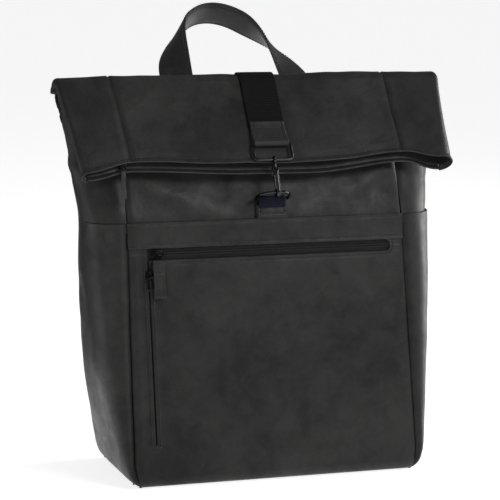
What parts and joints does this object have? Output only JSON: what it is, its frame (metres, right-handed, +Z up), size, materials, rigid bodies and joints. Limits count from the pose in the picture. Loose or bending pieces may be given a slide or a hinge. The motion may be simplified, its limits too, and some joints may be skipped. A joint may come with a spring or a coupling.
{
  "type": "backpack",
  "caption": "Roll-top leather backpack with a webbing closure strap, ring, swivel snap hook and D-ring, level and upright zip pockets, a grab handle and padded shoulder straps.",
  "frame": {"origin": "the middle of the flat base, on the surface that the bag stands on", "axes": "+Z up, -Y out of the front, +X to the right seen from the front"},
  "size_m": [0.4224, 0.2208, 0.4818],
  "materials": {
    "leather": "charcoal smooth leather, soft satin, fine grain",
    "pull_leather": "charcoal leather with raw cut edges",
    "lining": "plain woven polyester",
    "zip_tape": "herringbone zip tape",
    "zip_coil": "moulded nylon coil",
    "webbing": "ribbed polyester webbing",
    "navy_webbing": "dark navy satin webbing",
    "mesh": "air mesh over foam",
    "gunmetal": "polished gunmetal plating",
    "plastic": "moulded black plastic"
  },
  "bodies": {
    "bag": {"base_board": "plastic", "bottom_panel": "leather", "front_panel": "leather", "zip_band": "leather", "upper_front_panel": "leather", "lower_gusset_left": "leather", "lower_gusset_right": "leather", "upper_gusset_left": "leather", "upper_gusset_right": "leather", "back_panel": "leather", "lining": "lining", "laptop_divider": "lining", "slip_pocket": "lining", "front_pocket_bag": "lining", "quick_pocket_bag": "lining", "front_zip_tape": "zip_tape", "front_zip_coil": "zip_coil", "quick_zip_tape": "zip_tape", "quick_zip_coil": "zip_coil", "keeper_patch": "leather", "keeper_loop": "navy_webbing", "back_pad_left": "mesh", "back_pad_right": "mesh", "strap_yoke": "leather", "handle_anchors": "leather", "lower_tab_left": "leather", "lower_tab_right": "leather", "closure_anchor": "webbing", "outer_fold": "leather", "inner_fold": "leather", "strap_webbing_left": "webbing", "strap_webbing_right": "webbing", "closure_fold": "webbing"},
    "flap": {"flap_outer_panel": "leather", "flap_inner_panel": "leather", "flap_end_left": "leather", "flap_end_right": "leather", "mouth_zip_tapes": "zip_tape", "mouth_zip_coil": "zip_coil"},
    "closure": {"closure_webbing": "webbing", "closure_tip": "leather"},
    "ring": {"closure_ring": "gunmetal"},
    "eye": {"hook_eye": "gunmetal"},
    "hook": {"snap_hook": "gunmetal"},
    "gate": {"hook_gate": "gunmetal"},
    "d_ring": {"d_ring": "gunmetal"},
    "front_slider": {"front_zip_slider": "gunmetal"},
    "front_pull": {"front_zip_pull": "pull_leather"},
    "quick_slider": {"quick_zip_slider": "gunmetal"},
    "quick_pull": {"quick_zip_pull": "gunmetal"},
    "mouth_slider": {"mouth_zip_slider": "gunmetal"},
    "mouth_pull": {"mouth_zip_pull": "pull_leather"},
    "handle": {"handle": "leather"},
    "strap_left": {"shoulder_strap_left": "mesh", "strap_adjuster_left": "plastic", "strap_tail_left": "webbing"},
    "strap_right": {"shoulder_strap_right": "mesh", "strap_adjuster_right": "plastic", "strap_tail_right": "webbing"}
  },
  "joints": [
    {"name": "flap_open", "type": "hinge", "parent": "bag", "child": "flap", "pos_m": [0, 0.042, 0.396], "axis": [-1, 0, 0], "range_deg": [0, 145], "deforming": ["outer_fold", "inner_fold", "closure_fold"]},
    {"name": "strap_lift", "type": "hinge", "parent": "flap", "child": "closure", "pos_m": [0.005, 0.02963, 0.40466], "axis": [-1, 0, 0], "range_deg": [0, 100]},
    {"name": "ring_swing", "type": "hinge", "parent": "closure", "child": "ring", "pos_m": [0.005, -0.01707, 0.34336], "axis": [-1, 0, 0], "range_deg": [0, 90]},
    {"name": "hook_swing", "type": "hinge", "parent": "ring", "child": "eye", "pos_m": [0.005, -0.02855, 0.32698], "axis": [-1, 0, 0], "range_deg": [0, 90]},
    {"name": "hook_swivel", "type": "hinge", "parent": "eye", "child": "hook", "pos_m": [0.005, -0.02855, 0.32698], "axis": [0, 0.3475, 0.9377], "range_deg": [-25, 25]},
    {"name": "gate_open", "type": "hinge", "parent": "hook", "child": "gate", "pos_m": [0.005, -0.02918, 0.31175], "axis": [-1, 0, 0], "range_deg": [0, 20], "stiffness_Nm_per_rad": 0.05},
    {"name": "d_ring_drop", "type": "hinge", "parent": "bag", "child": "d_ring", "pos_m": [0.005, -0.01947, 0.2855], "axis": [1, 0, 0], "range_deg": [0, 75]},
    {"name": "front_zip_slide", "type": "slide", "parent": "bag", "child": "front_slider", "axis": [1, 0, 0], "range_m": [0, 0.244]},
    {"name": "front_pull_flip", "type": "hinge", "parent": "front_slider", "child": "front_pull", "pos_m": [-0.1195, -0.03265, 0.23337], "axis": [-1, 0, 0], "range_deg": [0, 90]},
    {"name": "quick_zip_slide", "type": "slide", "parent": "bag", "child": "quick_slider", "axis": [0, -0.1854, -0.9827], "range_m": [0, 0.155]},
    {"name": "quick_pull_flip", "type": "hinge", "parent": "quick_slider", "child": "quick_pull", "pos_m": [-0.1295, -0.03684, 0.21114], "axis": [-1, 0, 0], "range_deg": [0, 90]},
    {"name": "mouth_zip_slide", "type": "slide", "parent": "flap", "child": "mouth_slider", "axis": [1, 0, 0], "range_m": [0, 0.12]},
    {"name": "mouth_pull_flip", "type": "hinge", "parent": "mouth_slider", "child": "mouth_pull", "pos_m": [-0.154, -0.01934, 0.32322], "axis": [-1, 0, 0], "range_deg": [0, 60]},
    {"name": "handle_swing", "type": "hinge", "parent": "bag", "child": "handle", "pos_m": [0, 0.06018, 0.384], "axis": [-1, 0, 0], "range_deg": [-40, 60], "stiffness_Nm_per_rad": 0.8},
    {"name": "strap_left_swing", "type": "hinge", "parent": "bag", "child": "strap_left", "pos_m": [-0.046, 0.06522, 0.341], "axis": [1, 0, 0], "range_deg": [0, 25], "deforming": ["strap_webbing_left"]},
    {"name": "strap_right_swing", "type": "hinge", "parent": "bag", "child": "strap_right", "pos_m": [0.046, 0.06522, 0.341], "axis": [1, 0, 0], "range_deg": [0, 25], "deforming": ["strap_webbing_right"]}
  ],
  "couplings": [
    {"joint": "d_ring_drop", "follows": "strap_lift", "ratio": 0.72}
  ]
}
